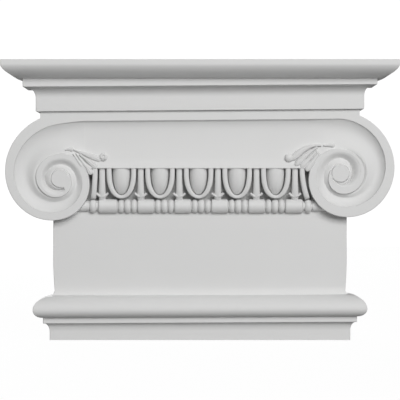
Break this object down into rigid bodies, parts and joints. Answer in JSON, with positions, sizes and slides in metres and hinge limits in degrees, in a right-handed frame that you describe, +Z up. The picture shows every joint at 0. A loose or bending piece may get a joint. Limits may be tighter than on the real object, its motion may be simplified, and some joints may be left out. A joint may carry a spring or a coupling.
{
  "type": "ionic pilaster capital",
  "caption": "Flat-backed ionic pilaster capital with mitred abacus, scrolled volutes, egg-and-dart, bead-and-reel, corner leaves, plain neck and torus foot.",
  "frame": {"origin": "middle of the flat back, at half the width and half the height, on the wall plane", "axes": "+Y into the wall, +X to the right seen from the front, +Z up"},
  "size_m": [0.438, 0.0879, 0.3116],
  "materials": {
    "primed_white": "factory primed, matt white"
  },
  "bodies": {
    "root": {"ionic_capital": "primed_white"}
  },
  "joints": []
}
